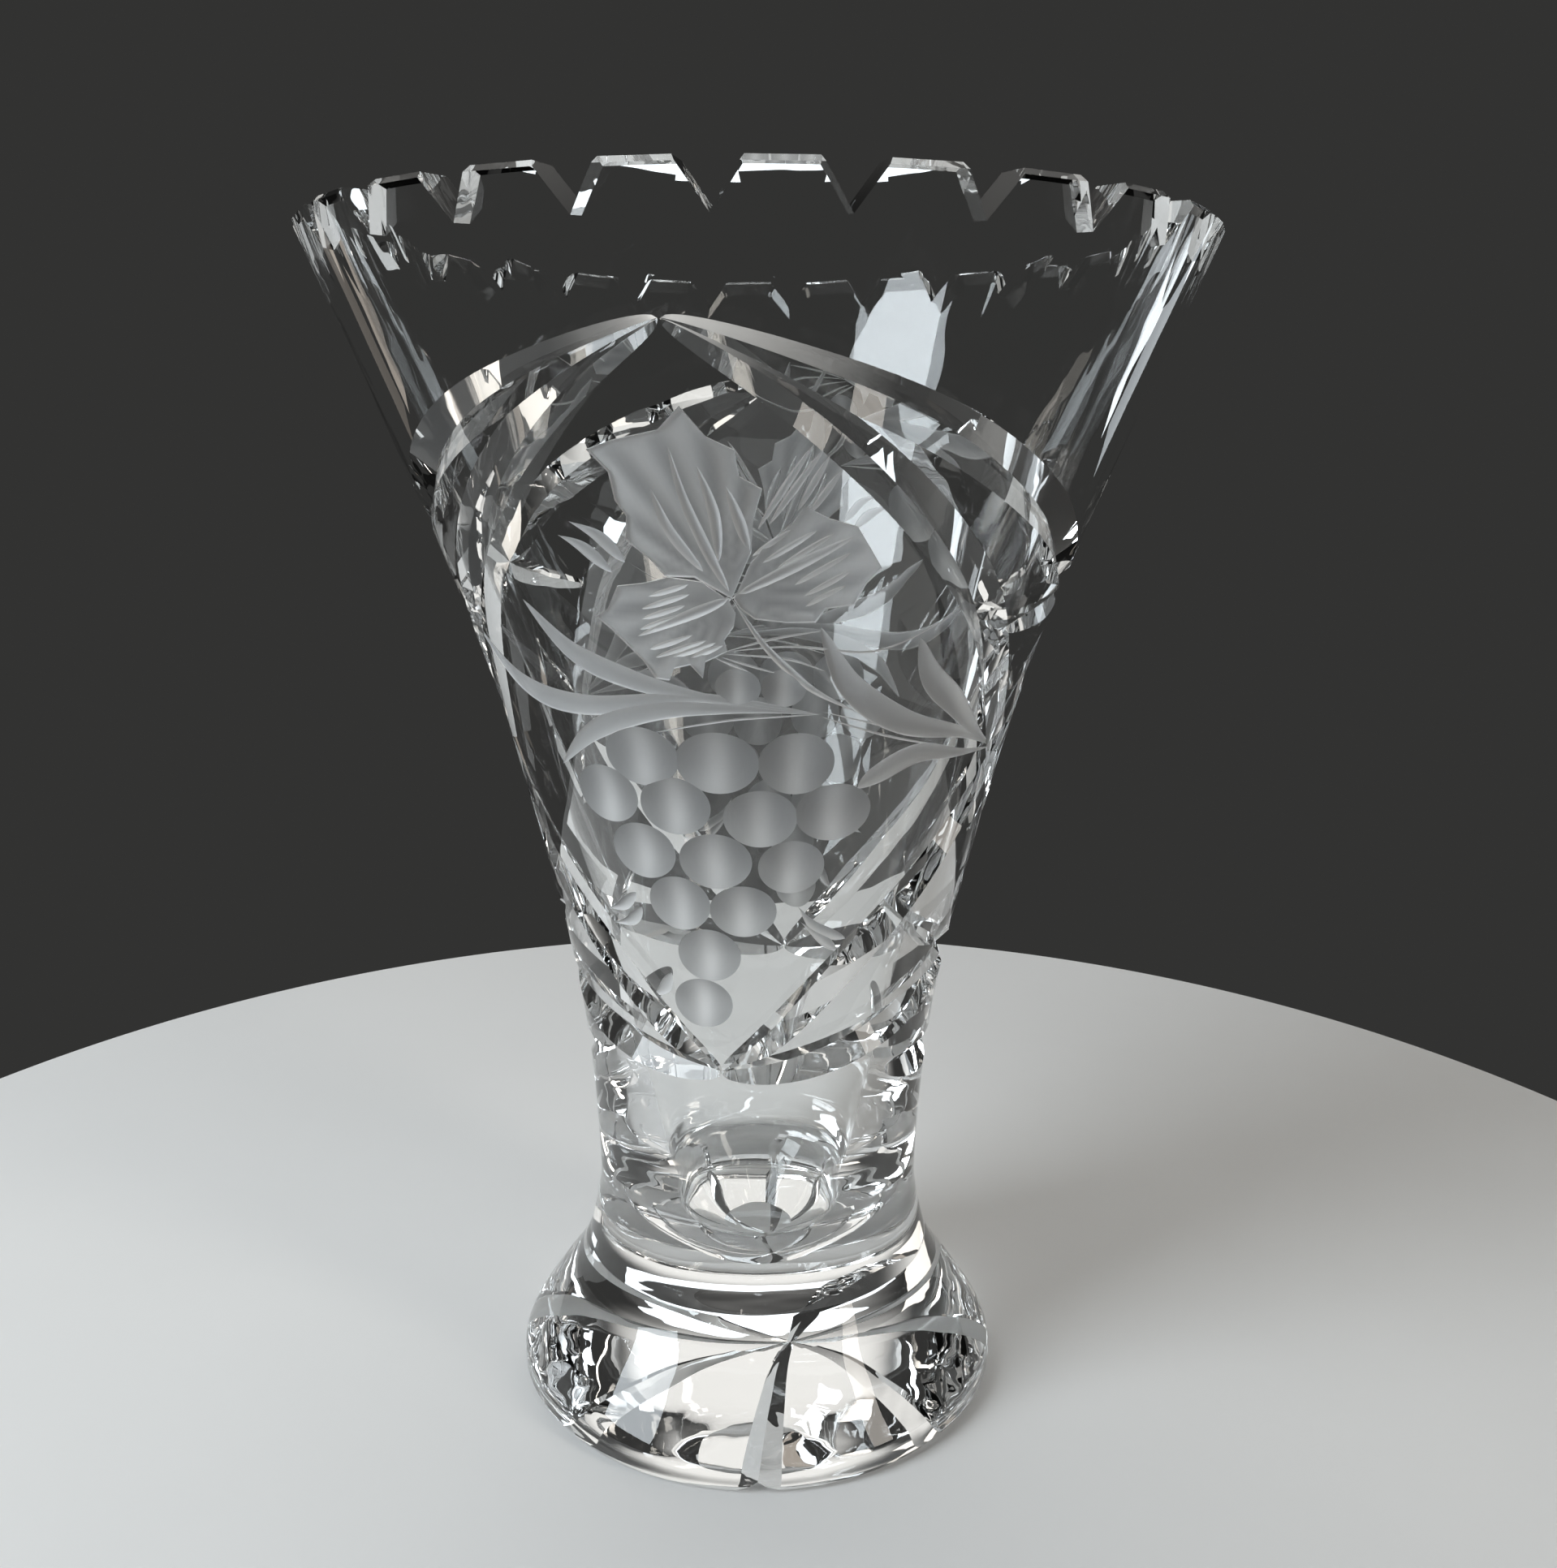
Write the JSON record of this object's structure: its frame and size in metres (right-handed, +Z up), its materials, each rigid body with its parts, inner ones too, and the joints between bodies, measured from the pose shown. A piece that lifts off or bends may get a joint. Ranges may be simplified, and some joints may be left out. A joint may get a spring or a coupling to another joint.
{
  "type": "flower vase",
  "caption": "Footed vase in clear cut crystal with a flared bowl, notched rim, V-cut pointed arcs, matt engraved vine panels and a solid star-cut foot.",
  "frame": {"origin": "middle of the underside, on the surface that the vase stands on", "axes": "+Z up along the vase's axis to the rim; -Y is the front, towards the engraved panel"},
  "size_m": [0.1766, 0.1766, 0.25],
  "materials": {
    "crystal": "polished, colourless, with deep polished V cuts and shallow matt engraving"
  },
  "bodies": {
    "root": {"bowl": "crystal", "foot": "crystal"}
  },
  "joints": []
}
